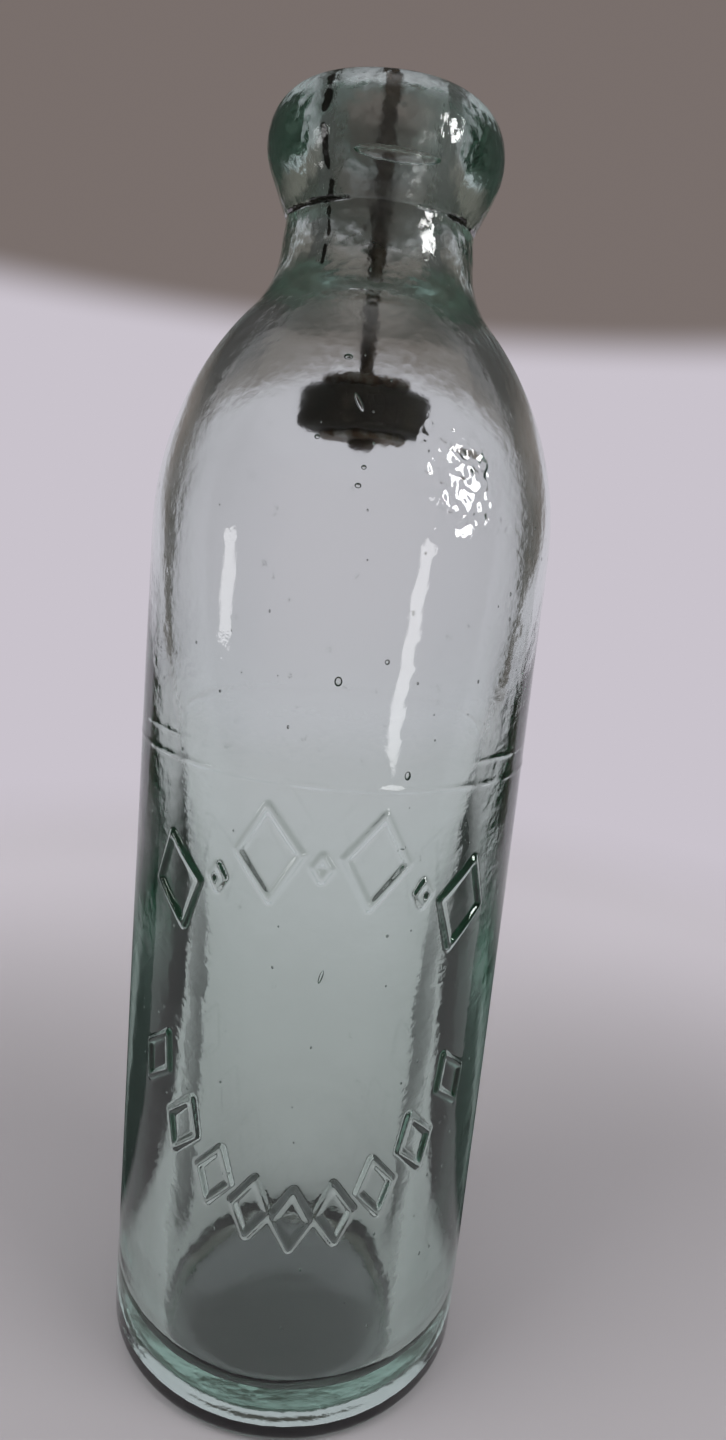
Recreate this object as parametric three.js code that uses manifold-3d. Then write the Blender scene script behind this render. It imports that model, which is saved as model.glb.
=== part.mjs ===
// A soda bottle of thick glass with a blob lip, and the spring stopper that lives in its neck.
// Millimetres, +Z up. The origin is the centre of the base, on the surface that the bottle stands on.
// The stopper is shown pushed down, with the bottle open and the loop's crown level with the mouth.
import * as THREE from 'three';
import { mergeVertices } from 'three/addons/utils/BufferGeometryUtils.js';
import Module from 'manifold-3d';

const wasm = await Module();
wasm.setup();

// Bottle
const totalHeight = 186;
const bodyDiameter = 57;
const wallThickness = 3.2;
const heelWallThickness = 8.5;
const thickWallHeight = 60;
const wallEasing = 20;
const heelRadius = 2.5;
const restingRingWidth = 4;
const pushUpHeight = 2.5;
const baseThickness = 3.8;
const insideHeelRadius = 4;

// Shoulder and neck
const shoulderRadius = 44.6;
const neckFilletRadius = 13.1;
const neckDiameter = 26.4;
const neckLength = 3.3;
const neckDrawIn = 0.3;

// Lip
const lipHeight = 15;
const lipOverhang = 2.85;
const lipCrownHeight = 6.2;
const lipCrownDepth = 5;

// Mouth and bore
const boreDiameter = 14.4;
const mouthRounding = 1.6;
const throatRadius = 11;

// Stopper
const openingStroke = 12;
const crownBelowMouth = 0.6;
const wireDiameter = 2.2;
const waistSpacing = 3.8;
const legSpacing = 5.2;
const fingerLoopHeight = 12.8;
const springLobeHeight = 14;
const gasketOverlap = 2.3;
const gasketThickness = 5;
const gasketRounding = 0.8;
const plateBoreClearance = 0.7;
const plateThickness = 0.9;
const plateDish = 0.8;
const plateRimWidth = 1.9;
const rivetHeadDiameter = 4;
const rivetHeadHeight = 1.1;

// Clearance between pieces that seat on each other or pass through each other
const fitGap = 0.3;

// Fineness of the facets
const roundSegments = 40;
const arcDivisions = 4;
const smallSegments = 20;
const smallArcDivisions = 2;
const wireSides = 5;
const wireSteps = 72;

// Sizes worked out from the driving dimensions
const bodyRadius = bodyDiameter / 2;
const insideRadius = bodyRadius - wallThickness;
const neckRadius = neckDiameter / 2;
const boreRadius = boreDiameter / 2;
const wireRadius = wireDiameter / 2;
const lipBase = totalHeight - lipHeight;
const shoulderEnd = lipBase - neckLength;
const outerTurn = ogeeTurn(bodyRadius - neckRadius, shoulderRadius + neckFilletRadius);
const shoulderStart = shoulderEnd - (shoulderRadius + neckFilletRadius) * Math.sin(outerTurn);
const insideShoulderRadius = shoulderRadius - wallThickness;
const innerTurn = ogeeTurn(insideRadius - boreRadius, insideShoulderRadius + throatRadius);
const throatTop = shoulderStart + (insideShoulderRadius + throatRadius) * Math.sin(innerTurn);

// Angle that two arcs of opposite bend turn through, when together they step sideways by the drop.
function ogeeTurn(drop, radiusSum) {
  return Math.acos(1 - drop / radiusSum);
}

// Height of the throat's wall where it has opened out to the given radius.
function throatHeight(radius) {
  const across = boreRadius + throatRadius - radius;
  return throatTop - Math.sqrt(throatRadius ** 2 - across ** 2);
}

// Points along an outline, without the doubled points where its stretches meet.
function outlinePoints(outline, divisions) {
  const nearest = 1e-6;
  const points = [];
  for (const point of outline.getPoints(divisions)) {
    if (points.length === 0 || point.distanceTo(points[points.length - 1]) > nearest) {
      points.push(point);
    }
  }
  return points;
}

// Solid of revolution about +Z. The outline runs from the axis round to the axis again.
function revolve(outline, segments, divisions) {
  const geometry = new THREE.LatheGeometry(outlinePoints(outline, divisions), segments);
  return geometry.rotateX(Math.PI / 2);
}

// Shallow dome from a point on the axis out to the given radius, or back in to the axis.
function dome(outline, rimRadius, rimHeight, rise, outward) {
  const radius = (rimRadius ** 2 + rise ** 2) / (2 * rise);
  const rimAngle = Math.acos(rimRadius / radius);
  const centre = rimHeight + rise - radius;
  if (outward) {
    outline.absarc(0, centre, radius, Math.PI / 2, rimAngle, true);
  } else {
    outline.absarc(0, centre, radius, rimAngle, Math.PI / 2, false);
  }
}

// Solid for joining and cutting, from a closed geometry.
function toSolid(geometry) {
  const mergeTolerance = 1e-4;
  const bare = geometry.clone();
  bare.deleteAttribute('normal');
  bare.deleteAttribute('uv');
  const merged = mergeVertices(bare, mergeTolerance);
  const corners = merged.index.array;
  const triangles = [];
  for (let i = 0; i < corners.length; i += 3) {
    const [a, b, c] = corners.slice(i, i + 3);
    if (a !== b && b !== c && c !== a) {
      triangles.push(a, b, c);
    }
  }
  return new wasm.Manifold(new wasm.Mesh({
    numProp: 3,
    vertProperties: merged.attributes.position.array,
    triVerts: new Uint32Array(triangles),
  }));
}

// Geometry to draw, from a joined or cut solid.
function toGeometry(solid) {
  const mesh = solid.getMesh();
  const geometry = new THREE.BufferGeometry();
  geometry.setAttribute('position', new THREE.BufferAttribute(mesh.vertProperties, 3));
  geometry.setIndex(new THREE.BufferAttribute(mesh.triVerts, 1));
  geometry.computeVertexNormals();
  return geometry;
}

// The bottle: up the outside from the push-up to the lip, then down the bore and the inside to the floor.
// The wall is thin at the shoulder, thickens down the upper body and stays thick down to the heel.
function bottleGeometry() {
  const ringOuter = bodyRadius - heelRadius;
  const ringInner = ringOuter - restingRingWidth;
  const neckTopRadius = neckRadius - neckDrawIn;
  const crownCentreRadius = neckRadius + lipOverhang - lipCrownDepth;
  const crownCentreHeight = totalHeight - lipCrownHeight;
  const mouthEdge = boreRadius + mouthRounding;
  const heelInsideRadius = bodyRadius - heelWallThickness;
  const heelInsideTop = baseThickness + insideHeelRadius;
  const floorRadius = heelInsideRadius - insideHeelRadius;

  // The lip's sloping underside meets its rounded crown as a tangent.
  const u = (neckTopRadius - crownCentreRadius) / lipCrownDepth;
  const v = (lipBase - crownCentreHeight) / lipCrownHeight;
  const crownStart = Math.atan2(v, u) + Math.acos(1 / Math.hypot(u, v));

  const outline = new THREE.Path();
  outline.moveTo(0, pushUpHeight);
  dome(outline, ringInner, 0, pushUpHeight, true);
  outline.lineTo(ringOuter, 0);
  outline.absarc(ringOuter, heelRadius, heelRadius, -Math.PI / 2, 0, false);
  outline.absarc(bodyRadius - shoulderRadius, shoulderStart, shoulderRadius, 0, outerTurn, false);
  outline.absarc(neckRadius + neckFilletRadius, shoulderEnd, neckFilletRadius,
    Math.PI + outerTurn, Math.PI, true);
  outline.lineTo(neckTopRadius, lipBase);
  outline.absellipse(crownCentreRadius, crownCentreHeight, lipCrownDepth, lipCrownHeight,
    crownStart, Math.PI / 2, false);
  outline.absarc(mouthEdge, totalHeight - mouthRounding, mouthRounding, Math.PI / 2, Math.PI, false);
  outline.absarc(boreRadius + throatRadius, throatTop, throatRadius, Math.PI, Math.PI + innerTurn, false);
  outline.absarc(bodyRadius - shoulderRadius, shoulderStart, insideShoulderRadius, innerTurn, 0, true);
  outline.bezierCurveTo(insideRadius, shoulderStart - wallEasing,
    heelInsideRadius, thickWallHeight + wallEasing, heelInsideRadius, thickWallHeight);
  outline.absarc(floorRadius, heelInsideTop, insideHeelRadius, 0, -Math.PI / 2, true);
  dome(outline, floorRadius, baseThickness, pushUpHeight, false);
  return revolve(outline, roundSegments, arcDivisions);
}

// The stopper's stack, from the crown of its loop down to its rivet heads.
const gasketRadius = boreRadius + gasketOverlap;
const gasketTop = throatHeight(gasketRadius + fitGap) - openingStroke;
const gasketBottom = gasketTop - gasketThickness;
const plateRadius = boreRadius - plateBoreClearance;
const topPlateBottom = gasketTop + fitGap;
const bottomPlateTop = gasketBottom - fitGap;
const rivetTop = bottomPlateTop - plateThickness - fitGap;
const crownHeight = totalHeight - crownBelowMouth - wireRadius;
const legTop = topPlateBottom + plateThickness + plateDish;

function wirePoint(x, z) {
  return new THREE.Vector3(x, 0, z);
}

// A bend that leaves and arrives straight up or down.
function sideBend(x0, z0, x1, z1) {
  const middle = (z0 + z1) / 2;
  const leaving = wirePoint(x0, middle);
  const arriving = wirePoint(x1, middle);
  return new THREE.CubicBezierCurve3(wirePoint(x0, z0), leaving, arriving, wirePoint(x1, z1));
}

// A quarter of the loop's crown, from its side to its top.
function crownBend(x, z) {
  const roundHandle = 0.5523;
  const sideHandle = wirePoint(x, z + roundHandle * (crownHeight - z));
  const topHandle = wirePoint(roundHandle * x, crownHeight);
  return new THREE.CubicBezierCurve3(wirePoint(x, z), sideHandle, topHandle, wirePoint(0, crownHeight));
}

// One bend turned to run the other way.
function reversed(bend) {
  return new THREE.CubicBezierCurve3(bend.v3, bend.v2, bend.v1, bend.v0);
}

// The wire's middle line: up the left leg, round the crown and down the right leg.
function wireLine() {
  const lobe = boreRadius - fitGap - wireRadius;
  const waist = waistSpacing / 2;
  const leg = legSpacing / 2;
  const fingerLobeHeight = crownHeight - lobe;
  const waistHeight = crownHeight - fingerLoopHeight;
  const springLobeMiddle = waistHeight - springLobeHeight / 2;
  const wireEnd = rivetTop - rivetHeadHeight / 2;
  const strand = (side) => [
    sideBend(side * leg, legTop, side * lobe, springLobeMiddle),
    sideBend(side * lobe, springLobeMiddle, side * waist, waistHeight),
    sideBend(side * waist, waistHeight, side * lobe, fingerLobeHeight),
    crownBend(side * lobe, fingerLobeHeight),
  ];
  const line = new THREE.CurvePath();
  line.add(new THREE.LineCurve3(wirePoint(-leg, wireEnd), wirePoint(-leg, legTop)));
  strand(-1).forEach((bend) => line.add(bend));
  strand(1).reverse().forEach((bend) => line.add(reversed(bend)));
  line.add(new THREE.LineCurve3(wirePoint(leg, legTop), wirePoint(leg, wireEnd)));
  return line;
}

// A rivet head, flat above and rounded below, centred on a leg of the wire.
function rivetHead(x) {
  const radius = rivetHeadDiameter / 2;
  const outline = new THREE.Path();
  outline.moveTo(0, -rivetHeadHeight);
  outline.absellipse(0, 0, radius, rivetHeadHeight, -Math.PI / 2, 0, false);
  outline.lineTo(0, 0);
  return revolve(outline, smallSegments, smallArcDivisions).translate(x, 0, rivetTop);
}

function wireGeometry() {
  const section = new THREE.Shape().absarc(0, 0, wireRadius, 0, 2 * Math.PI, false);
  const wire = new THREE.ExtrudeGeometry(section, {
    extrudePath: wireLine(),
    steps: wireSteps,
    curveSegments: wireSides,
  });
  let solid = toSolid(wire);
  for (const side of [-1, 1]) {
    solid = solid.add(toSolid(rivetHead(side * legSpacing / 2)));
  }
  return toGeometry(solid);
}

// The two holes that the wire's legs pass through, cut from a disc of the stopper.
function drillForLegs(geometry, low, high) {
  const overrun = 1;
  const length = high - low + 2 * overrun;
  let solid = toSolid(geometry);
  for (const side of [-1, 1]) {
    const drill = new THREE.CylinderGeometry(wireRadius + fitGap, wireRadius + fitGap, length, 4 * wireSides);
    drill.rotateX(Math.PI / 2).translate(side * legSpacing / 2, 0, (low + high) / 2);
    solid = solid.subtract(toSolid(drill));
  }
  return toGeometry(solid);
}

// The rubber disc, with rounded rims.
function gasketGeometry() {
  const flat = gasketRadius - gasketRounding;
  const outline = new THREE.Path();
  outline.moveTo(0, gasketBottom);
  outline.lineTo(flat, gasketBottom);
  outline.absarc(flat, gasketBottom + gasketRounding, gasketRounding, -Math.PI / 2, 0, false);
  outline.absarc(flat, gasketTop - gasketRounding, gasketRounding, 0, Math.PI / 2, false);
  outline.lineTo(0, gasketTop);
  return drillForLegs(revolve(outline, roundSegments, smallArcDivisions), gasketBottom, gasketTop);
}

// The upper plate, with its rim turned up away from the rubber.
function topPlateGeometry() {
  const flat = plateRadius - plateRimWidth;
  const top = topPlateBottom + plateThickness;
  const outline = new THREE.Path();
  outline.moveTo(0, topPlateBottom);
  outline.lineTo(flat, topPlateBottom);
  outline.lineTo(plateRadius, topPlateBottom + plateDish);
  outline.lineTo(plateRadius, top + plateDish);
  outline.lineTo(flat, top);
  outline.lineTo(0, top);
  return drillForLegs(revolve(outline, roundSegments, smallArcDivisions), topPlateBottom, top);
}

// The lower plate, flat, with its outer edge eased.
function bottomPlateGeometry() {
  const bottom = bottomPlateTop - plateThickness;
  const easing = plateThickness / 2;
  const flat = plateRadius - easing;
  const outline = new THREE.Path();
  outline.moveTo(0, bottom);
  outline.lineTo(flat, bottom);
  outline.absarc(flat, bottom + easing, easing, -Math.PI / 2, Math.PI / 2, false);
  outline.lineTo(0, bottomPlateTop);
  return drillForLegs(revolve(outline, roundSegments, smallArcDivisions), bottom, bottomPlateTop);
}

const glass = new THREE.MeshStandardMaterial({
  color: 0xb4c6bf, roughness: 0.05, metalness: 0, transparent: true, opacity: 0.35,
});
const wireSteel = new THREE.MeshStandardMaterial({ color: 0x5c554d, roughness: 0.5, metalness: 0.9 });
const plateSteel = new THREE.MeshStandardMaterial({ color: 0x6f6a62, roughness: 0.45, metalness: 0.9 });
const rubber = new THREE.MeshStandardMaterial({ color: 0x2b2624, roughness: 0.85, metalness: 0 });

function piece(name, geometry, material) {
  const mesh = new THREE.Mesh(geometry, material);
  mesh.name = name;
  return mesh;
}

const stopper = new THREE.Group();
stopper.add(piece('spring_wire', wireGeometry(), wireSteel));
stopper.add(piece('top_plate', topPlateGeometry(), plateSteel));
stopper.add(piece('rubber_gasket', gasketGeometry(), rubber));
stopper.add(piece('bottom_plate', bottomPlateGeometry(), plateSteel.clone()));

// The loop stands edge-on to the bottle's front, which faces -Y.
stopper.rotation.z = Math.PI / 2;

const bottle = new THREE.Group();
bottle.add(piece('glass_bottle', bottleGeometry(), glass));
bottle.add(stopper);

export default bottle;
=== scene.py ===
import math

import bpy
import numpy as np
from mathutils import Matrix, Quaternion, Vector, noise


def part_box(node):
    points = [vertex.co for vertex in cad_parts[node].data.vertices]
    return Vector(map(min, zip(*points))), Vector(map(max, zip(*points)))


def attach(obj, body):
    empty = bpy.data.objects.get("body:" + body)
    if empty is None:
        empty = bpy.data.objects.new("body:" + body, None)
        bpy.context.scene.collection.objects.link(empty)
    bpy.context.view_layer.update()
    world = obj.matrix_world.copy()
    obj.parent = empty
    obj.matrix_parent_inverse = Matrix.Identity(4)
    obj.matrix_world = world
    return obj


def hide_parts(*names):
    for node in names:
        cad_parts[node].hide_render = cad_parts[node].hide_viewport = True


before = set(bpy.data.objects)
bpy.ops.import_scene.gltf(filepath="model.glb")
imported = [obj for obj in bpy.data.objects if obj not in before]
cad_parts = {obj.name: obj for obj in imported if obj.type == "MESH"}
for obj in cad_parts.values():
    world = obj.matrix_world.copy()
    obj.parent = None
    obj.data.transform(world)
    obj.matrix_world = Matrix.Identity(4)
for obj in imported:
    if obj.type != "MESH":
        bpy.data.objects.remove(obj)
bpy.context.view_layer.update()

# Lengths of the bottle and the stopper are in millimetres and become metres where a mesh is made.
# Angles are in radians, apart from those listed for the raised band, the crease and the shown bubbles,
# which are in degrees.
MM = 0.001
# Points of an outline that lie closer than this are one point.
SAME_POINT = 1e-4
# A cubic curve with handles of this share of its radius is a quarter of a circle.
ROUND_HANDLE = 0.5523

# Bottle
GLASS_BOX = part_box("glass_bottle")
TOTAL_HEIGHT = GLASS_BOX[1][2] / MM
BODY_RADIUS = GLASS_BOX[1][0] / MM
WALL = 3.2
HEEL_WALL = 8.5
THICK_WALL_HEIGHT = 60.0
WALL_EASING = 20.0
HEEL_RADIUS = 2.5
RING_WIDTH = 4.0
PUSH_UP = 2.5
BASE_THICKNESS = 3.8
INSIDE_HEEL_RADIUS = 4.0
SHOULDER_RADIUS = 44.6
NECK_FILLET_RADIUS = 13.1
NECK_RADIUS = 13.2
NECK_LENGTH = 3.3
NECK_DRAW_IN = 0.3
LIP_HEIGHT = 15.0
LIP_OVERHANG = 2.85
LIP_CROWN_HEIGHT = 6.2
LIP_CROWN_DEPTH = 5.0
BORE_RADIUS = 7.2
MOUTH_ROUNDING = 1.6
THROAT_RADIUS = 11.0

# Fineness of the glass mesh: points along its curves, and steps along its straight stretches
PUSH_UP_POINTS = 14
HEEL_POINTS = 14
SHOULDER_POINTS = 34
NECK_FILLET_POINTS = 16
CROWN_POINTS = 34
MOUTH_POINTS = 10
THROAT_POINTS = 18
INSIDE_SHOULDER_POINTS = 28
WALL_POINTS = 54
INSIDE_HEEL_POINTS = 18
FLOOR_POINTS = 12
BACK_POINTS = 82
RING_STEP = 1.0
BODY_STEP = 1.6
RELIEF_STEP = 0.28
NECK_STEP = 0.5
CREASE_STEP = 0.09
MOUTH_STEP = 0.6
BORE_STEP = 1.4
INSIDE_STEP = 1.3

# Marks that the mould left
MOULD_LINE_HEIGHT = 99.6
MOULD_LINE_RISE = 0.13
MOULD_LINE_WIDTH = 0.32
SIDE_SEAM_RISE = 0.08
SIDE_SEAM_WIDTH = 0.4

# Raised band of lozenges: an arch of large ones with small ones between, above a garland
RELIEF_RISE = 0.42
RELIEF_HALF_WIDTH = 0.65
RELIEF_EDGE = math.radians(58)
ARCH_SPAN = (74.0, 101.5)
ARCH_ANGLES = (-42, -14, 14, 42)
ARCH_HEIGHT = 91
ARCH_SAG = 0.0045
ARCH_LEAN = -0.35
ARCH_HALF_SIZE = (4.2, 6.2)
STUD_ANGLES = (-28, 0, 28)
STUD_HEIGHT = 89
STUD_HALF_SIZE = (1.0, 1.6)
GARLAND_SPAN = (32.0, 62.0)
GARLAND_ANGLES = np.linspace(-46, 46, 9)
GARLAND_HEIGHT = 38
GARLAND_RISE = 0.0085
GARLAND_LEAN = 0.5
GARLAND_HALF_SIZE = (2.6, 4.6)

# Unevenness that the glassmaker left
OUTSIDE_WAVE = 0.09
INSIDE_WAVE = 0.38
INSIDE_RIPPLE = 0.03
EVEN_FLOOR = 3.0
EVEN_THROAT = 8.0
LIP_WAVE = 0.2
CREASE_DEPTH = 0.4
CREASE_WIDTH = 0.22
CREASE_DRIFT = 0.5
# Width of the painted shadow in the crease under the lip's overhang.
CREASE_SHADE_WIDTH = 0.5
CREASE_WORN_ANGLE = (10, 32)
CREASE_WORN_SHARE = (0.1, 1)
CREASE_REACH = 1.0
FOLD_ANGLE = math.radians(-29.5)
FOLD_SPAN = (163.0, 186.0)
FOLD_WIDTHS = (0.3, 0.8)
FOLD_DRIFT = 0.5

# Uneven patterns: their size in turns round the axis, their pace per millimetre of height and their seed
OUTSIDE_WAVE_PATTERN = (1.6, 0.035, 3.0)
DISC_PATTERN = (2.2, 0.4, 5.0)
INSIDE_WAVE_PATTERN = (1.3, 0.03, 11.0)
INSIDE_RIPPLE_PATTERN = (5.0, 0.1, 17.0)
LINE_WEAR_PATTERN = (7.0, 0.0, 21.0)
LIP_WAVE_PATTERN = (1.2, 0.12, 31.0)
CREASE_WEAR_PATTERN = (3.0, 0.0, 41.0)
CREASE_DRIFT_PATTERN = (2.0, 0.0, 47.0)
FOLD_DRIFT_PATTERN = (0.0, 0.35, 53.0)
FOLD_WEAR_PATTERN = (0.0, 0.55, 59.0)

# Wear: what is left of a mark on average, how much that varies, and the least that is left
LINE_WEAR = (0.55, 1.1, 0.1)
CREASE_WEAR = (0.7, 1.5, 0.15)
FOLD_WEAR = (0.9, 1.6, 0.2)

# Air bubbles that show in the front wall: angle, height, half width, half thickness, half length, lean
# and depth in the wall
SHOWN_BUBBLES = [
    (6.3, 176.6, 5.2, 0.57, 0.95, 0, 3.4),
    (-8.5, 159.6, 1.25, 0.25, 0.42, 0, 2.2),
    (-6.3, 150.6, 0.55, 0.23, 0.38, 0, 1.8),
    (-1.4, 145.4, 0.36, 0.22, 1.25, -28, 1.2),
    (-11.5, 141.0, 0.36, 0.18, 0.30, 0, 1.5),
    (1.4, 138.0, 0.32, 0.17, 0.28, 0, 2.0),
    (0.3, 135.9, 0.40, 0.19, 0.32, 0, 1.5),
    (-0.2, 112.7, 0.50, 0.30, 0.62, 0, 1.6),
    (12.0, 115.5, 0.32, 0.19, 0.34, 0, 2.0),
    (20.6, 101.2, 0.42, 0.25, 0.60, 0, 1.6),
    (2.2, 73.8, 0.26, 0.16, 1.00, 14, 1.4),
]
BUBBLE_SIDES = 12
BUBBLE_RINGS = 7

# Fine seed, scattered through the whole wall
SEED_RANDOM = 7
SEED_COUNT = 240
SEED_SPAN = (12, 164)
SEED_DEPTH = (0.8, 2.4)
SEED_SIZE = (0.07, 0.2)
SEED_STRETCH = (1.0, 1.9)
SEED_LEAN = (-0.3, 0.3)

# Stopper
GASKET_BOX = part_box("rubber_gasket")
TOP_PLATE_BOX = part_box("top_plate")
BOTTOM_PLATE_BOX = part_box("bottom_plate")
WIRE_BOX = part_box("spring_wire")
WIRE_RADIUS = 1.1
WIRE_SIDES = 14
WIRE_BEND_POINTS = 22
WAIST_SPACING = 3.8
LEG_SPACING = 5.2
LEG_STEP = 0.8
FINGER_LOOP_HEIGHT = 12.8
SPRING_LOBE_HEIGHT = 14.0
PIT_DEPTH = 0.035
PIT_PACE = 1.3
RIVET_RADIUS = 2.0
RIVET_HEIGHT = 1.1
RIVET_POINTS = 10
RIVET_STEP = 0.7
RIVET_SIDES = 28
DISC_SIDES = 96
DISC_STEP = 0.8
ROUNDING_POINTS = 9
GASKET_ROUNDING = 1.1
GASKET_PLAY = 0.02
GASKET_UNEVEN = 0.12
PLATE_THICKNESS = 0.9
PLATE_UNEVEN = 0.03
PLATE_RIM_WIDTH = 1.9
PLATE_RIM_STEP = 0.3
PLATE_RIM_TURN = (-0.6, 1.9)
PLATE_RIM_POINTS = 8
# Ends of the turned-up rim, in from the plate's edge and down from its top
PLATE_RIM_OUTER = (0.1, PLATE_THICKNESS)
PLATE_RIM_INNER = (0.7, 0.02)

# Noises of the materials: scale per metre, detail and roughness
SMUDGE_NOISE = (70, 6.0, 0.6)
PEEL_NOISE = (260, 2.0, 0.5)
RAGGED_NOISE = (950, 3.0, 0.6)
FLECK_NOISE = (800, 0.0, 0.55)
WIRE_RUST_NOISE = (420, 6.0, 0.65)
WIRE_GRAIN_NOISE = (1600, 5.0, 0.6)
PLATE_RUST_NOISE = (300, 7.0, 0.62)
PLATE_GRAIN_NOISE = (1300, 4.0, 0.6)
BLOOM_NOISE = (240, 6.0, 0.6)

# Glass: its colours, its haze by height in millimetres, and its fine unevenness in metres
GLASS_IOR = 1.52
GLASS_TINT = (0.1, 0.62, 0.42)
GLASS_DENSITY = 16.0
GLASS_BOUNCES = 24
CLEAR = (0.985, 0.995, 0.99)
# Dark colour for painted shadow in the crease under the lip, for dirt in the fold and for the darkened hazy
# bore of the lip.
SHADE_AND_GRIME = (0.006, 0.005, 0.004)
HAZE_ATTRIBUTE = "haze"
# Stored mask of painted shadow in the crease under the lip and of dirt in the fold.
SHADE_AND_GRIME_ATTRIBUTE = "shade_and_grime"
INSIDE_HAZE = [(15, 0.08), (120, 0.06), (150, 0.1), (163, 0.24), (172, 0.4)]
OUTSIDE_HAZE = [(168, 0.0), (175, 0.1)]
SMUDGE_ROUGHNESS = [(0.5, 0.0), (0.8, 0.1)]
HAZE_PATCHES = [(0.3, 0.6), (0.75, 1.2)]
# Edge of the painted shadow in the crease and of the dirt in the fold, along their ragged mask.
SHADE_AND_GRIME_EDGE = (0.2, 0.3)
# The hazy bore of the lip is darkened over this span of haze, by the share on the next line.
BORE_DARKENING_SPAN = (0.3, 0.42)
BORE_DARKENING_SHARE = 0.6
GLASS_RELIEF = 0.0004
PEEL_SHARE = 0.12
RAGGED_BODY = 0.03
RAGGED_LIP = 0.15
RAGGED_SPAN = (0.15, 0.168)
FLECKED_LIP = 0.3
SCUFF_MIDDLE = (0.0135, -0.0246, 0.1378)
SCUFF_REACH = (0.0122, 0.0092)
SCUFF_UNEVEN = 0.011
SCUFF_RAGGED = 0.7

# Stopper's materials: colours and roughness along the noise, and the relief's strength and depth in metres
WIRE_METALLIC = 0.75
WIRE_COLOURS = [
    (0.3, (0.02, 0.013, 0.009)),
    (0.5, (0.07, 0.042, 0.026)),
    (0.64, (0.16, 0.135, 0.115)),
    (0.8, (0.3, 0.28, 0.25)),
]
WIRE_ROUGHNESS = [(0.35, 0.75), (0.75, 0.38)]
WIRE_RELIEF = (0.35, 0.0003)
PLATE_METALLIC = 0.8
PLATE_COLOURS = [
    (0.32, (0.07, 0.035, 0.02)),
    (0.47, (0.2, 0.13, 0.085)),
    (0.58, (0.33, 0.31, 0.28)),
    (0.8, (0.46, 0.44, 0.41)),
]
PLATE_ROUGHNESS = [(0.4, 0.8), (0.7, 0.4)]
PLATE_RELIEF = (0.3, 0.0003)
RUBBER_COLOURS = [
    (0.35, (0.018, 0.014, 0.012)),
    (0.6, (0.045, 0.036, 0.03)),
    (0.8, (0.12, 0.1, 0.085)),
]
RUBBER_ROUGHNESS = [(0.3, 0.6), (0.7, 0.92)]
RUBBER_RELIEF = (0.4, 0.0002)
CRACK_SCALE = 700
CRACK_WIDTH = 0.06

# Stage, in metres
STAGE_ROUGHNESS = 0.9
STAGE_DISC_SIDES = 96
FLOOR_REACH = (0.24, 0.3)
FLOOR_MIDDLE = (0.0, 0.06, 0.0)
FLOOR_FADE = (0.8, 1.25)
# Painted shade on the floor: darkest round the point in front given next, gone beyond the span after it, from
# the shaded colour to the unshaded one.
FLOOR_FRONT = (0.0, -0.12, 0.0)
FLOOR_SHADE_SPAN = (0.18, 0.33)
FLOOR_SHADED = (0.495, 0.465, 0.49)
FLOOR_UNSHADED = (0.75, 0.7, 0.76)
SHEET_COLOUR = (0.585, 0.545, 0.605)
SHEET_RADIUS = 0.22
SHEET_HALF_TURN = math.radians(75)
SHEET_COLUMNS = 49
SHEET_HEIGHTS = (0.0, 0.25)
SHEET_EDGE = (0.182, 0.168)
SHEET_FOOT = (0.0, 0.03)
SHEET_TOP = (0.206, 0.188)
SHEET_TAPER = 0.035
SHEET_TAPER_SPAN = (0.1, 0.19)

# Dark boards beside the bottle, in metres: reach along X, place along Y and span along Z
LOW_WING = ((0.0275, 0.085), 0.011, (0.0, 0.1))
HIGH_WING = ((0.0195, 0.07), 0.008, (0.15, 0.215))
LOW_WING_DARK = (0.006, 0.008, 0.007)
HIGH_WING_DARK = (0.07, 0.062, 0.06)
WING_FOOT = (0.008, 0.0)
WING_GAP_FOOT = (0.05, 0.08)
WING_GAP_TOP = (0.165, 0.15)

# Room and lights, in metres and watts
WALL_GREY = (0.19, 0.158, 0.148)
DIM_GREY = (0.06, 0.056, 0.05)
DIM_ASIDE = (math.sin(math.radians(38)), math.sin(math.radians(58)))
DIM_OVERHEAD = (math.sin(math.radians(20)), math.sin(math.radians(29)))
FILL_LIGHT = 0.35
GLOW_MIDDLE = (0.0, 0.0, 0.8)
GLOW_REACH = (0.36, 0.3)
STRIP_LEAN = math.radians(-28)
# Each light has a name, a place, a target, a size, a power and a lean.
SOFT_LIGHTS = [
    ("soft_left", (-0.6, -0.35, 0.75), (0, 0, 0.05), (0.5, 0.5), 2.9, 0.0),
    ("soft_right", (0.6, -0.35, 0.75), (0, 0, 0.05), (0.5, 0.5), 2.9, 0.0),
    ("soft_top", (-0.15, -0.35, 1.0), (0, 0, 0.05), (1.7, 1.7), 2.3, 0.0),
]
STREAK_LIGHTS = [
    ("strip_left", (-0.36, -0.16, 0.1), (0, 0, 0.1), (0.058, 0.075), 0.068, 0.0),
    ("strip_right", (0.1746, -0.2439, 0.09), (0, 0, 0.1), (0.034, 0.124), 0.072, STRIP_LEAN),
    ("patch_right", (0.273, -0.154, 0.242), (0, 0, 0.14), (0.062, 0.165), 0.7, 0.0),
]

# Camera, from the photograph: its focal length in pixels and its distances in millimetres
IMAGE_HEIGHT_PX = 1440
FOCAL_PX = 954.2
SENSOR_HEIGHT_MM = 36.0
NEAREST = 5.0
CAMERA_DISTANCE = 141.8
CAMERA_HEIGHT = 132.4
CAMERA_YAW = math.radians(1.67)
CAMERA_PITCH = math.radians(11.93)
CAMERA_ROLL = math.radians(5.48)


def arc(centre_r, centre_z, radius, start, stop, count, tall=1.0):
    """Points along an arc of an outline, as rows of radius and height."""
    turn = np.linspace(start, stop, count)
    return np.column_stack([centre_r + radius * np.cos(turn), centre_z + tall * radius * np.sin(turn)])


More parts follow.
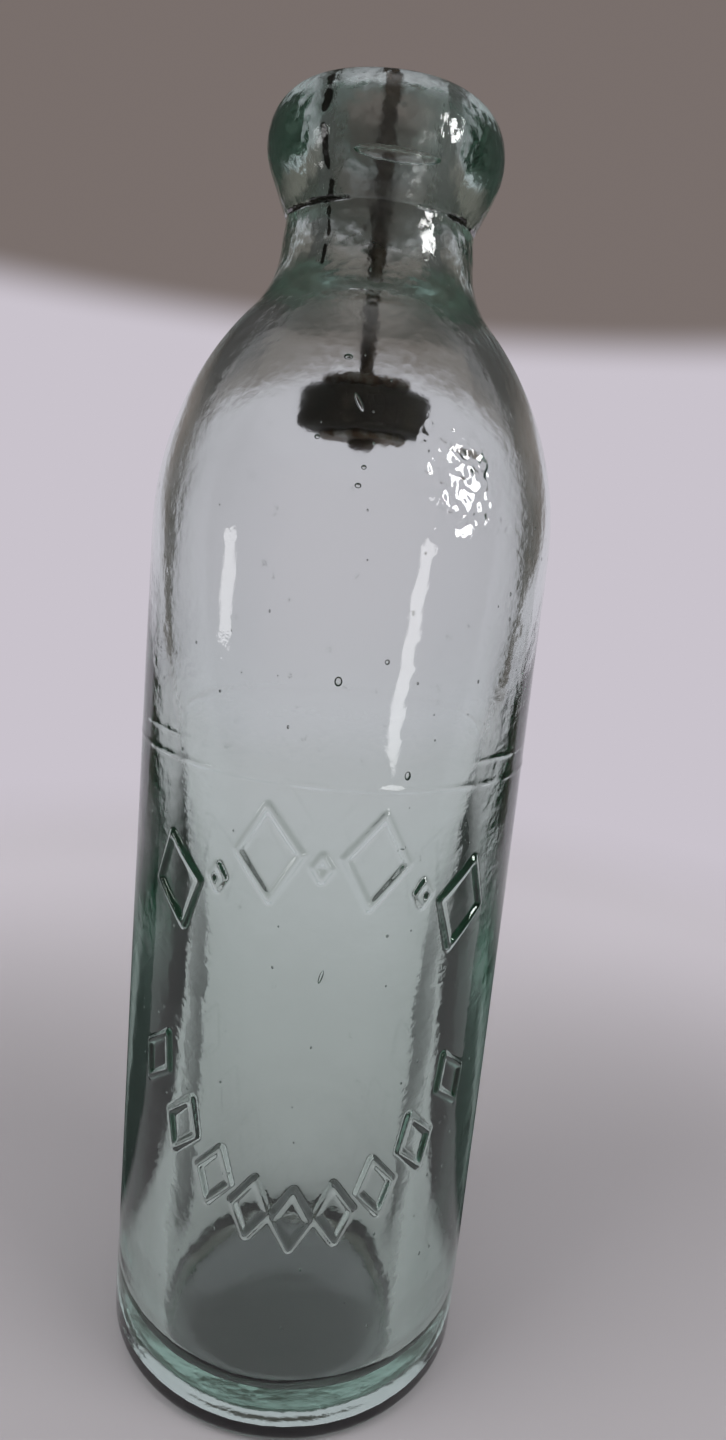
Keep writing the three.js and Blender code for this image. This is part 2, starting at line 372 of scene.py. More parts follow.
def straight(start, stop, step):
    """Points along a straight stretch of an outline, no further apart than step."""
    start, stop = np.array(start), np.array(stop)
    count = max(2, math.ceil(np.linalg.norm(stop - start) / step) + 1)
    return start + (stop - start) * np.linspace(0, 1, count)[:, None]


def bezier(p0, p1, p2, p3, count):
    """Points along a cubic curve."""
    t = np.linspace(0, 1, count)[:, None]
    p0, p1, p2, p3 = map(np.array, (p0, p1, p2, p3))
    return (1 - t) ** 3 * p0 + 3 * (1 - t) ** 2 * t * p1 + 3 * (1 - t) * t**2 * p2 + t**3 * p3


def dome(rim_radius, rim_height, rise, count):
    """Points of a shallow dome, from its rim in to the axis."""
    radius = (rim_radius**2 + rise**2) / (2 * rise)
    rim_turn = math.acos(rim_radius / radius)
    return arc(0, rim_height + rise - radius, radius, rim_turn, math.pi / 2, count)


def join_stretches(stretches):
    """One outline from stretches that meet end to end, without the doubled points."""
    points = np.vstack(stretches)
    steps = np.linalg.norm(np.diff(points, axis=0), axis=1)
    return points[np.concatenate([[True], steps > SAME_POINT])]


def ogee_turn(drop, radius_sum):
    """Angle that two opposite arcs turn through when together they step sideways by drop."""
    return math.acos(1 - drop / radius_sum)


# Places on the bottle that follow from its sizes
LIP_BASE = TOTAL_HEIGHT - LIP_HEIGHT
SHOULDER_END = LIP_BASE - NECK_LENGTH
OUTER_TURN = ogee_turn(BODY_RADIUS - NECK_RADIUS, SHOULDER_RADIUS + NECK_FILLET_RADIUS)
SHOULDER_START = SHOULDER_END - (SHOULDER_RADIUS + NECK_FILLET_RADIUS) * math.sin(OUTER_TURN)
SHOULDER_CENTRE = BODY_RADIUS - SHOULDER_RADIUS
INSIDE_RADIUS = BODY_RADIUS - WALL
INSIDE_SHOULDER = SHOULDER_RADIUS - WALL
INNER_TURN = ogee_turn(INSIDE_RADIUS - BORE_RADIUS, INSIDE_SHOULDER + THROAT_RADIUS)
THROAT_TOP = SHOULDER_START + (INSIDE_SHOULDER + THROAT_RADIUS) * math.sin(INNER_TURN)


def body_stretches():
    """The straight outside of the body, close together where the raised band is."""
    stops = [HEEL_RADIUS, *GARLAND_SPAN, *ARCH_SPAN, SHOULDER_START]
    steps = [BODY_STEP, RELIEF_STEP, BODY_STEP, RELIEF_STEP, BODY_STEP]
    return [straight((BODY_RADIUS, low), (BODY_RADIUS, high), step)
            for low, high, step in zip(stops, stops[1:], steps)]


def lip_stretches(neck_top):
    """The lip's outside: a sloping underside that runs into a bulging crown, and the flat round the mouth."""
    crown_r = NECK_RADIUS + LIP_OVERHANG - LIP_CROWN_DEPTH
    crown_z = TOTAL_HEIGHT - LIP_CROWN_HEIGHT
    tall = LIP_CROWN_HEIGHT / LIP_CROWN_DEPTH
    u = (neck_top - crown_r) / LIP_CROWN_DEPTH
    v = (LIP_BASE - crown_z) / LIP_CROWN_HEIGHT
    crown_start = math.atan2(v, u) + math.acos(1 / math.hypot(u, v))
    crown = arc(crown_r, crown_z, LIP_CROWN_DEPTH, crown_start, math.pi / 2, CROWN_POINTS, tall)
    slope = (crown[0] - (neck_top, LIP_BASE)) / (crown[0][1] - LIP_BASE)
    under_lip = (neck_top, LIP_BASE) + CREASE_REACH * slope
    mouth_r = BORE_RADIUS + MOUTH_ROUNDING
    return [
        straight((neck_top, LIP_BASE), under_lip, CREASE_STEP),
        straight(under_lip, crown[0], NECK_STEP),
        crown,
        straight((crown_r, TOTAL_HEIGHT), (mouth_r, TOTAL_HEIGHT), MOUTH_STEP),
    ]


def outside_outline():
    """The bottle's outside, from the middle of the push-up to the edge of the mouth."""
    ring_outer = BODY_RADIUS - HEEL_RADIUS
    ring_inner = ring_outer - RING_WIDTH
    fillet_centre = NECK_RADIUS + NECK_FILLET_RADIUS
    fillet_start = math.pi + OUTER_TURN
    neck_top = NECK_RADIUS - NECK_DRAW_IN
    crease_start = LIP_BASE - CREASE_REACH
    return join_stretches([
        dome(ring_inner, 0, PUSH_UP, PUSH_UP_POINTS)[::-1],
        straight((ring_inner, 0), (ring_outer, 0), RING_STEP),
        arc(ring_outer, HEEL_RADIUS, HEEL_RADIUS, -math.pi / 2, 0, HEEL_POINTS),
        *body_stretches(),
        arc(SHOULDER_CENTRE, SHOULDER_START, SHOULDER_RADIUS, 0, OUTER_TURN, SHOULDER_POINTS),
        arc(fillet_centre, SHOULDER_END, NECK_FILLET_RADIUS, fillet_start, math.pi, NECK_FILLET_POINTS),
        straight((NECK_RADIUS, SHOULDER_END), (neck_top, crease_start), NECK_STEP),
        straight((neck_top, crease_start), (neck_top, LIP_BASE), CREASE_STEP),
        *lip_stretches(neck_top),
    ])


def inside_outline():
    """The bottle's inside, from the edge of the mouth down to the middle of the floor."""
    mouth_r = BORE_RADIUS + MOUTH_ROUNDING
    mouth_z = TOTAL_HEIGHT - MOUTH_ROUNDING
    throat_r = BORE_RADIUS + THROAT_RADIUS
    throat_end = math.pi + INNER_TURN
    heel_r = BODY_RADIUS - HEEL_WALL
    floor_r = heel_r - INSIDE_HEEL_RADIUS
    heel_z = BASE_THICKNESS + INSIDE_HEEL_RADIUS
    return join_stretches([
        arc(mouth_r, mouth_z, MOUTH_ROUNDING, math.pi / 2, math.pi, MOUTH_POINTS),
        straight((BORE_RADIUS, mouth_z), (BORE_RADIUS, THROAT_TOP), BORE_STEP),
        arc(throat_r, THROAT_TOP, THROAT_RADIUS, math.pi, throat_end, THROAT_POINTS),
        arc(SHOULDER_CENTRE, SHOULDER_START, INSIDE_SHOULDER, INNER_TURN, 0, INSIDE_SHOULDER_POINTS),
        bezier((INSIDE_RADIUS, SHOULDER_START), (INSIDE_RADIUS, SHOULDER_START - WALL_EASING),
               (heel_r, THICK_WALL_HEIGHT + WALL_EASING), (heel_r, THICK_WALL_HEIGHT), WALL_POINTS),
        straight((heel_r, THICK_WALL_HEIGHT), (heel_r, heel_z), INSIDE_STEP),
        arc(floor_r, heel_z, INSIDE_HEEL_RADIUS, 0, -math.pi / 2, INSIDE_HEEL_POINTS),
        dome(floor_r, BASE_THICKNESS, PUSH_UP, FLOOR_POINTS),
    ])


def even_angles(count):
    """Angles evenly spaced round a circle."""
    return np.arange(count) * 2 * math.pi / count


def glass_angles():
    """Angles round the bottle from its front, close together where the raised band is."""
    front_count = math.ceil(2 * RELIEF_EDGE * BODY_RADIUS / RELIEF_STEP)
    front = np.linspace(-RELIEF_EDGE, RELIEF_EDGE, front_count)
    back = np.linspace(RELIEF_EDGE, 2 * math.pi - RELIEF_EDGE, BACK_POINTS)[1:-1]
    return np.concatenate([front, back])


def lozenge(angle_deg, height, half_size, lean_deg=0.0):
    """Four strokes of a plain lozenge on the body's wall, in arc length and height."""
    half_width, half_height = half_size
    lean = math.radians(lean_deg)
    middle = np.array([BODY_RADIUS * math.radians(angle_deg), height])
    tips = np.array([(0, half_height), (half_width, 0), (0, -half_height), (-half_width, 0)])
    turn = np.array([(math.cos(lean), math.sin(lean)), (-math.sin(lean), math.cos(lean))])
    tips = tips @ turn + middle
    return [(tips[i], tips[(i + 1) % 4]) for i in range(4)]


def relief_strokes():
    """The strokes of the whole raised band."""
    strokes = []
    for angle in ARCH_ANGLES:
        height = ARCH_HEIGHT - ARCH_SAG * angle**2
        strokes += lozenge(angle, height, ARCH_HALF_SIZE, ARCH_LEAN * angle)
    for angle in STUD_ANGLES:
        strokes += lozenge(angle, STUD_HEIGHT - ARCH_SAG * angle**2, STUD_HALF_SIZE)
    for angle in GARLAND_ANGLES:
        height = GARLAND_HEIGHT + GARLAND_RISE * angle**2
        strokes += lozenge(angle, height, GARLAND_HALF_SIZE, GARLAND_LEAN * angle)
    return strokes


def relief_height(angle, height):
    """How far the raised band stands off the body's wall at each point."""
    wrapped = (angle + math.pi) % (2 * math.pi) - math.pi
    point = np.column_stack([BODY_RADIUS * wrapped, height])
    nearest = np.full(len(point), np.inf)
    for start, stop in relief_strokes():
        along = stop - start
        share = np.clip((point - start) @ along / (along @ along), 0, 1)
        off_stroke = np.linalg.norm(point - start - share[:, None] * along, axis=1)
        nearest = np.minimum(nearest, off_stroke)
    return RELIEF_RISE * np.clip(1 - (nearest / RELIEF_HALF_WIDTH) ** 2, 0, None)


def wander(angle, height, pattern):
    """Smooth uneven values between about -1 and 1 over a round wall."""
    turns, per_mm, seed = pattern
    x, y = turns * np.cos(angle), turns * np.sin(angle)
    values = [noise.noise(Vector((a, b, c * per_mm + seed))) for a, b, c in zip(x, y, height)]
    return np.array(values)


def worn_share(angle, height, wear, pattern):
    """How much is left of a worn mark at each point, up to 1."""
    average, varied, least = wear
    return np.clip(average + varied * wander(angle, height, pattern), least, 1)


def ridge(off, width):
    """A smooth ridge of height 1 at a distance of 0."""
    return np.exp(-((off / width) ** 2))


def mould_marks(angle, height):
    """The level line round the body and the two seams up its sides."""
    worn = worn_share(angle, height, LINE_WEAR, LINE_WEAR_PATTERN)
    line = MOULD_LINE_RISE * worn * ridge(height - MOULD_LINE_HEIGHT, MOULD_LINE_WIDTH)
    off_seam = BODY_RADIUS * np.abs(np.cos(angle))
    seam = SIDE_SEAM_RISE * ridge(off_seam, SIDE_SEAM_WIDTH)
    return line + seam * (height < SHOULDER_END)


def crease_share(angle, height, width):
    """How far each point lies in the crease where the lip was folded onto the neck, up to 1."""
    worn = worn_share(angle, height, CREASE_WEAR, CREASE_WEAR_PATTERN)
    off_front = 2 * np.degrees(np.abs(np.sin(angle / 2)))
    worn *= np.interp(off_front, CREASE_WORN_ANGLE, CREASE_WORN_SHARE)
    drift = CREASE_DRIFT * wander(angle, height, CREASE_DRIFT_PATTERN)
    return worn * ridge(height - LIP_BASE - drift, width)


def fold_share(angle, height, radius):
    """How far each point lies in the upright fold at the lip's front left, up to 1."""
    drift = FOLD_DRIFT * wander(np.zeros(len(height)), height, FOLD_DRIFT_PATTERN)
    worn = worn_share(angle, height, FOLD_WEAR, FOLD_WEAR_PATTERN)
    off_fold = radius * np.sin(angle - FOLD_ANGLE) - drift
    low, high = FOLD_SPAN
    in_span = (height > low) & (height < high) & (np.cos(angle - FOLD_ANGLE) > 0)
    return in_span * worn * ridge(off_fold, np.interp(height, FOLD_SPAN, FOLD_WIDTHS))


def lip_marks(angle, height):
    """The lip's own unevenness and its crease."""
    lumpy = LIP_WAVE * wander(angle, height, LIP_WAVE_PATTERN) * (height > LIP_BASE)
    return lumpy - CREASE_DEPTH * crease_share(angle, height, CREASE_WIDTH)


def outside_change(angle, height):
    """How far the glass stands off its outside outline at points above the heel."""
    change = np.zeros(len(angle))
    on_body = height < SHOULDER_START
    change[on_body] += relief_height(angle[on_body], height[on_body])
    change += mould_marks(angle, height)
    change += OUTSIDE_WAVE * wander(angle, height, OUTSIDE_WAVE_PATTERN)
    on_lip = height > SHOULDER_END
    change[on_lip] += lip_marks(angle[on_lip], height[on_lip])
    return change


def inside_change(angle, height):
    """How far the glass stands off its inside outline at points of the body."""
    wave = INSIDE_WAVE * wander(angle, height, INSIDE_WAVE_PATTERN)
    return wave + INSIDE_RIPPLE * wander(angle, height, INSIDE_RIPPLE_PATTERN)


def ring_faces(first, second, count):
    """Quads between two rings of points that start at these numbers."""
    following = [(j + 1) % count for j in range(count)]
    return [(first + j, first + k, second + k, second + j) for j, k in enumerate(following)]


def revolved_faces(ring_count, count):
    """Faces of a closed body of revolution: a point, rings of points and another point."""
    faces = [(0, 1 + (j + 1) % count, 1 + j) for j in range(count)]
    for i in range(ring_count - 1):
        faces += ring_faces(1 + i * count, 1 + (i + 1) * count, count)
    last = 1 + (ring_count - 1) * count
    tip = last + count
    faces += [(last + j, last + (j + 1) % count, tip) for j in range(count)]
    return faces


def revolved(outline, angles, radius_change=None):
    """Points and faces of a body of revolution whose outline starts and ends on the axis."""
    rings = outline[1:-1]
    radius = np.repeat(rings[:, 0], len(angles))
    height = np.repeat(rings[:, 1], len(angles))
    angle = np.tile(angles, len(rings))
    if radius_change is not None:
        ring = np.repeat(np.arange(len(rings)), len(angles))
        radius = radius + radius_change(angle, height, ring)
    points = np.column_stack([radius * np.sin(angle), -radius * np.cos(angle), height])
    points = np.vstack([[(0, 0, outline[0, 1])], points, [(0, 0, outline[-1, 1])]])
    return points, revolved_faces(len(rings), len(angles))


def joined(blocks):
    """Points and faces of several blocks as one, with the faces numbered on."""
    faces = []
    count = 0
    for points, own_faces in blocks:
        faces += [tuple(count + k for k in face) for face in own_faces]
        count += len(points)
    return np.vstack([points for points, own_faces in blocks]), faces


def mesh_object(name, points, faces, body, node, material):
    """A smooth-shaded piece that stands for a node, from points in millimetres."""
    mesh = bpy.data.meshes.new(name)
    mesh.from_pydata([tuple(p) for p in np.asarray(points) * MM], [], faces)
    mesh.validate()
    mesh.shade_smooth()
    mesh.materials.append(material)
    piece = bpy.data.objects.new(name, mesh)
    bpy.context.scene.collection.objects.link(piece)
    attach(piece, body)
    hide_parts(node)
    return piece


def unit_ball(sides, rings):
    """Points of a ball of radius 1, from its lowest point up to its highest."""
    points = [(0, 0, -1)]
    for level in np.linspace(-math.pi / 2, math.pi / 2, rings + 2)[1:-1]:
        wide, height = math.cos(level), math.sin(level)
        points += [(wide * math.sin(t), -wide * math.cos(t), height) for t in even_angles(sides)]
    points += [(0, 0, 1)]
    return np.array(points)


def bubble(centre, half_sizes, lean):
    """Points and inward faces of one air bubble, an ellipsoid with its long axis leant in the wall."""
    angle, height, radius = centre
    upward = np.array([0, 0, 1])
    outward = np.array([math.sin(angle), -math.cos(angle), 0])
    across = np.array([math.cos(angle), math.sin(angle), 0])
    long_axis = math.cos(lean) * upward + math.sin(lean) * across
    wide_axis = math.cos(lean) * across - math.sin(lean) * upward
    ball = unit_ball(BUBBLE_SIDES, BUBBLE_RINGS) * np.array(half_sizes)
    points = ball @ np.array([wide_axis, -outward, long_axis])
    points += radius * outward + height * upward
    faces = [face[::-1] for face in revolved_faces(BUBBLE_RINGS, BUBBLE_SIDES)]
    return points, faces


def shown_bubbles(outside):
    """The bubbles that show in the front wall, as a place, half sizes and a lean."""
    bubbles = []
    for angle, height, wide, thick, long, lean, depth in SHOWN_BUBBLES:
        radius = np.interp(height, outside[:, 1], outside[:, 0]) - depth
        centre = (math.radians(angle), height, radius)
        bubbles.append((centre, (wide, thick, long), math.radians(lean)))
    return bubbles


def seed_bubbles(outside):
    """The fine seed through the whole wall, as a place, half sizes and a lean."""
    random = np.random.default_rng(SEED_RANDOM)
    bubbles = []
    for _ in range(SEED_COUNT):
        angle = random.uniform(-math.pi, math.pi)
        height = random.uniform(*SEED_SPAN)
        radius = np.interp(height, outside[:, 1], outside[:, 0]) - random.uniform(*SEED_DEPTH)
        size = random.uniform(*SEED_SIZE)
        stretch = random.uniform(*SEED_STRETCH)
        lean = random.uniform(*SEED_LEAN)
        bubbles.append(((angle, height, radius), (size, size, size * stretch), lean))
    return bubbles


def store_marks(bottle, points, wall_count, outer_count):
    """Store how hazy each point of the glass is, and how much painted shadow in the crease under the lip and
    dirt in the fold it carries, for its material.
    """
    height = points[:, 2]
    haze = np.interp(height, *zip(*INSIDE_HAZE))
    haze[:outer_count] = np.interp(height[:outer_count], *zip(*OUTSIDE_HAZE))
    haze[wall_count:] = 0
    x, y, z = points[1:outer_count].T
    angle, radius = np.arctan2(x, -y), np.hypot(x, y)
    # Painted shadow in the crease under the lip's overhang, joined below with dirt in the fold.
    crease_shade = crease_share(angle, z, CREASE_SHADE_WIDTH)
    shade_and_grime = np.zeros(len(points))
    shade_and_grime[1:outer_count] = np.maximum(crease_shade, fold_share(angle, z, radius))
    for name, values in ((HAZE_ATTRIBUTE, haze), (SHADE_AND_GRIME_ATTRIBUTE, shade_and_grime)):
        bottle.data.attributes.new(name, "FLOAT", "POINT").data.foreach_set("value", values)


def make_bottle():
    """The glass with its uneven walls, mould marks, raised band and bubbles."""
    outside = outside_outline()
    angles = glass_angles()
    mouth_ring = len(outside) - 2

    def radius_change(angle, height, ring):
        change = np.zeros(len(angle))
        outer = (ring < mouth_ring) & (height > HEEL_RADIUS)
        change[outer] = outside_change(angle[outer], height[outer])
        inner = (ring >= mouth_ring) & (height > BASE_THICKNESS + EVEN_FLOOR)
        inner &= height < THROAT_TOP - EVEN_THROAT
        change[inner] = inside_change(angle[inner], height[inner])
        return change

    walls = revolved(join_stretches([outside, inside_outline()]), angles, radius_change)
    above_heel = outside[outside[:, 1] > HEEL_RADIUS]
    bubbles = [bubble(*each) for each in shown_bubbles(above_heel) + seed_bubbles(above_heel)]
    points, faces = joined([walls, *bubbles])
    material = glass_material()
    bottle = mesh_object("bottle_glass", points, faces, "bottle", "glass_bottle", material)
    outer_count = 1 + len(angles) * (mouth_ring + MOUTH_POINTS)
    store_marks(bottle, points, len(walls[0]), outer_count)


def side_bend(x0, z0, x1, z1):
    """A bend of the wire that leaves and arrives straight up or down."""
    middle = (z0 + z1) / 2
    return bezier((x0, z0), (x0, middle), (x1, middle), (x1, z1), WIRE_BEND_POINTS)


def wire_line():
    """The wire's middle line: up the left leg, round the crown and down the right leg."""
    crown = WIRE_BOX[1][2] / MM - WIRE_RADIUS
    lobe = WIRE_BOX[1][1] / MM - WIRE_RADIUS
    waist, leg = WAIST_SPACING / 2, LEG_SPACING / 2
    leg_top = TOP_PLATE_BOX[1][2] / MM
    leg_end = WIRE_BOX[0][2] / MM + RIVET_HEIGHT / 2
    finger_lobe = crown - lobe
    waist_height = crown - FINGER_LOOP_HEIGHT
    spring_lobe = waist_height - SPRING_LOBE_HEIGHT / 2
    crown_handle = (ROUND_HANDLE * lobe, crown)
    side_handle = (lobe, finger_lobe + ROUND_HANDLE * (crown - finger_lobe))
    right = join_stretches([
        bezier((0, crown), crown_handle, side_handle, (lobe, finger_lobe), WIRE_BEND_POINTS),
        side_bend(lobe, finger_lobe, waist, waist_height),
        side_bend(waist, waist_height, lobe, spring_lobe),
        side_bend(lobe, spring_lobe, leg, leg_top),
        straight((leg, leg_top), (leg, leg_end), LEG_STEP),
    ])
    left = right[::-1] * np.array([-1, 1])
    return join_stretches([left, right])


def tube(line, radius, sides):
    """Points and faces of a pitted round bar along a line in the plane of the loop."""
    step = np.gradient(line, axis=0)
    step /= np.linalg.norm(step, axis=1)[:, None]
    normal = np.column_stack([step[:, 1], -step[:, 0]])
    points = []
    for (y, z), (side_y, side_z) in zip(line, normal):
        for t in even_angles(sides):
            spot = Vector((-math.sin(t), y + side_y * math.cos(t), z))
            pitted = radius * (1 - PIT_DEPTH * (1 + noise.noise(spot * PIT_PACE)))
            reach = pitted * math.cos(t)
            points.append((-pitted * math.sin(t), y + reach * side_y, z + reach * side_z))
    last = (len(line) - 1) * sides
    faces = []
    for first in range(0, last, sides):
        faces += ring_faces(first, first + sides, sides)
    faces.append(tuple(range(sides))[::-1])
    faces.append(tuple(range(last, last + sides)))
    return np.array(points), faces


def rivet_outline():
    """A rivet head from its rounded underside up to its flat top."""
    top = WIRE_BOX[0][2] / MM + RIVET_HEIGHT
    tall = RIVET_HEIGHT / RIVET_RADIUS
    round_part = arc(0, top, RIVET_RADIUS, -math.pi / 2, 0, RIVET_POINTS, tall)
    return join_stretches([round_part, straight((RIVET_RADIUS, top), (0, top), RIVET_STEP)])


def make_wire():
    """The sprung wire with its two rivet heads."""
    blocks = [tube(wire_line(), WIRE_RADIUS, WIRE_SIDES)]
    head_points, head_faces = revolved(rivet_outline(), even_angles(RIVET_SIDES))
    for side in (-1, 1):
        blocks.append((head_points + np.array([0, side * LEG_SPACING / 2, 0]), head_faces))
    points, faces = joined(blocks)
    mesh_object("stopper_wire", points, faces, "stopper", "spring_wire", wire_material())


def make_disc(name, outline, node, material, uneven):
    """A round piece of the stopper, slightly uneven in radius."""

    def radius_change(angle, height, ring):
        return uneven * wander(angle, height, DISC_PATTERN)

    points, faces = revolved(outline, even_angles(DISC_SIDES), radius_change)
    mesh_object(name, points, faces, "stopper", node, material)


def make_gasket():
    """The rubber disc, pressed against both plates and bulged a little at its rim."""
    low = BOTTOM_PLATE_BOX[1][2] / MM + GASKET_PLAY
    high = TOP_PLATE_BOX[0][2] / MM - GASKET_PLAY
    flat = GASKET_BOX[1][0] / MM - GASKET_ROUNDING
    outline = join_stretches([
        straight((0, low), (flat, low), DISC_STEP),
        arc(flat, low + GASKET_ROUNDING, GASKET_ROUNDING, -math.pi / 2, 0, ROUNDING_POINTS),
        arc(flat, high - GASKET_ROUNDING, GASKET_ROUNDING, 0, math.pi / 2, ROUNDING_POINTS),
        straight((flat, high), (0, high), DISC_STEP),
    ])
    material = rubber_material()
    make_disc("stopper_rubber", outline, "rubber_gasket", material, GASKET_UNEVEN)


def make_top_plate():
    """The dished plate above the rubber, with its rim turned up."""
    low, high = TOP_PLATE_BOX[0][2] / MM, TOP_PLATE_BOX[1][2] / MM
    radius = TOP_PLATE_BOX[1][0] / MM
    flat = radius - PLATE_RIM_WIDTH
    upper = low + PLATE_THICKNESS
    half = PLATE_THICKNESS / 2
    rim_outer = (radius - PLATE_RIM_OUTER[0], high - PLATE_RIM_OUTER[1])
    rim_inner = (radius - PLATE_RIM_INNER[0], high - PLATE_RIM_INNER[1])
    outline = join_stretches([
        straight((0, low), (flat, low), DISC_STEP),
        straight((flat, low), rim_outer, PLATE_RIM_STEP),
        arc(radius - half, high - half, half, *PLATE_RIM_TURN, PLATE_RIM_POINTS),
        straight(rim_inner, (flat, upper), PLATE_RIM_STEP),
        straight((flat, upper), (0, upper), DISC_STEP),
    ])
    material = plate_material()
    make_disc("stopper_top_plate", outline, "top_plate", material, PLATE_UNEVEN)


def make_bottom_plate():
    """The flat plate below the rubber."""
    low, high = BOTTOM_PLATE_BOX[0][2] / MM, BOTTOM_PLATE_BOX[1][2] / MM
    half = (high - low) / 2
    flat = BOTTOM_PLATE_BOX[1][0] / MM - half
    outline = join_stretches([
        straight((0, low), (flat, low), DISC_STEP),
        arc(flat, low + half, half, -math.pi / 2, math.pi / 2, ROUNDING_POINTS),
        straight((flat, high), (0, high), DISC_STEP),
    ])
    material = plate_material()
    make_disc("stopper_bottom_plate", outline, "bottom_plate", material, PLATE_UNEVEN)


class Graph:
    """The nodes of a material or of the world, with short ways to add to them."""

    def __init__(self, owner, output):
        owner.use_nodes = True
        self.nodes = owner.node_tree.nodes
        self.link = owner.node_tree.links.new
        self.output = self.nodes[output]

    def add(self, kind):
        """A new node of a kind."""
        return self.nodes.new("ShaderNode" + kind)

    def place(self, kind="Object"):
        """The shaded point in the piece's own coordinates, or in others of the same node."""
        return self.add("TexCoord").outputs[kind]

    def parts(self, vector):
        """The X, Y and Z of a vector."""
        node = self.add("SeparateXYZ")
        self.link(vector, node.inputs["Vector"])
        return node.outputs

    def distance(self, vector, middle=(0.0, 0.0, 0.0)):
        """How far a vector lies from a fixed point."""
        node = self.add("VectorMath")
        node.operation = "DISTANCE"
        node.inputs[1].default_value = middle
        self.link(vector, node.inputs[0])
        return node.outputs["Value"]

    def attribute(self, name):
        """A value that is stored on the mesh."""
        node = self.add("Attribute")
        node.attribute_name = name
        return node.outputs["Fac"]

    def texture(self, scale, detail, roughness):
        """A noise over the piece's own coordinates."""
        node = self.add("TexNoise")
        node.inputs["Scale"].default_value = scale
        node.inputs["Detail"].default_value = detail
        node.inputs["Roughness"].default_value = roughness
        self.link(self.place(), node.inputs["Vector"])
        return node.outputs["Fac"]

    def math(self, operation, *sources):
        """The result of an operation on values, which are sockets or numbers."""
        node = self.add("Math")
        node.operation = operation
        for socket, source in zip(node.inputs, sources):
            if isinstance(source, (int, float)):
                socket.default_value = source
            else:
                self.link(source, socket)
        return node.outputs["Value"]

    def fade(self, source, start, stop):
        """A smooth change from 0 at start to 1 at stop."""
        node = self.add("MapRange")
        node.interpolation_type = "SMOOTHSTEP"
        node.inputs["From Min"].default_value = start
        node.inputs["From Max"].default_value = stop
        self.link(source, node.inputs["Value"])
        return node.outputs["Result"]

    def ramp(self, source, stops):
        """A colour ramp along a value, with stops given as place and colour."""
        node = self.add("ValToRGB")
        elements = node.color_ramp.elements
        while len(elements) < len(stops):
            elements.new(0.5)
        for element, (place, colour) in zip(elements, stops):
            element.position = place
            element.color = (*colour, 1)
        self.link(source, node.inputs["Fac"])
        return node.outputs["Color"]

    def level(self, source, stops):
        """A level along a value, with stops given as place and level."""
        return self.ramp(source, [(place, (level, level, level)) for place, level in stops])

    def bump(self, source, shader, strength, depth):
        """Fine surface unevenness from a value."""
        node = self.add("Bump")
        node.inputs["Strength"].default_value = strength
        node.inputs["Distance"].default_value = depth
        self.link(source, node.inputs["Height"])
        self.link(node.outputs["Normal"], shader.inputs["Normal"])

    def mix(self, share, first, second):
        """Make the surface go from the first shader to the second with the share."""
        node = self.add("MixShader")
        self.link(share, node.inputs["Fac"])
        self.link(first, node.inputs[1])
        self.link(second, node.inputs[2])
        self.link(node.outputs["Shader"], self.output.inputs["Surface"])

    def clear(self):
        """A shader that lets everything through."""
        return self.add("BsdfTransparent").outputs["BSDF"]

    def seen_directly(self):
        """1 for what the camera sees, also in glass and metal, and 0 for light on matt surfaces."""
        path = self.add("LightPath").outputs
        mirrored = self.math("MAXIMUM", path["Is Glossy Ray"], path["Is Transmission Ray"])
        return self.math("MAXIMUM", path["Is Camera Ray"], mirrored)


def new_material(name):
    """A material with its main shader and its graph."""
    material = bpy.data.materials.new(name)
    graph = Graph(material, "Material Output")
    return material, graph.nodes["Principled BSDF"], graph


def glass_unevenness(graph, ragged):
    """The glass's fine relief: soft all over, ragged at the lip and flecked in one scuffed patch."""
    place = graph.place()
    peel = graph.texture(*PEEL_NOISE)
    flecks = graph.texture(*FLECK_NOISE)
    lip = graph.fade(graph.parts(place)["Z"], *RAGGED_SPAN)
    ragged_share = graph.math("MULTIPLY_ADD", lip, RAGGED_LIP - RAGGED_BODY, RAGGED_BODY)
    off_scuff = graph.distance(place, SCUFF_MIDDLE)
    scuff = graph.fade(graph.math("MULTIPLY_ADD", peel, SCUFF_UNEVEN, off_scuff), *SCUFF_REACH)
    flecked_lip = graph.math("MULTIPLY", lip, FLECKED_LIP)
    flecked = graph.math("MULTIPLY_ADD", scuff, SCUFF_RAGGED, flecked_lip)
    fine = graph.math("MULTIPLY", ragged, ragged_share)
    fine = graph.math("MULTIPLY_ADD", flecks, flecked, fine)
    return graph.math("ADD", graph.math("MULTIPLY", peel, PEEL_SHARE), fine)


def glass_colour(graph, haze, patchy, ragged):
    """The glass's colour: clear, but dark with painted shadow in the crease under the lip and with dirt in
    the fold, and darker where the bore of the lip is hazy.
    """
    # Painted shadow in the crease under the lip and dirt in the fold, made ragged.
    ragged_shade_and_dirt = graph.math("MULTIPLY", graph.attribute(SHADE_AND_GRIME_ATTRIBUTE), ragged)
    shade_and_dirt = graph.fade(ragged_shade_and_dirt, *SHADE_AND_GRIME_EDGE)
    # The bore of the lip is darker where its haze is strong, patchily.
    darker_bore = graph.math("MULTIPLY", graph.fade(haze, *BORE_DARKENING_SPAN), BORE_DARKENING_SHARE)
    darker_bore = graph.math("MULTIPLY", darker_bore, patchy)
    return graph.ramp(graph.math("MAXIMUM", shade_and_dirt, darker_bore), [(0.0, CLEAR), (1.0, SHADE_AND_GRIME)])


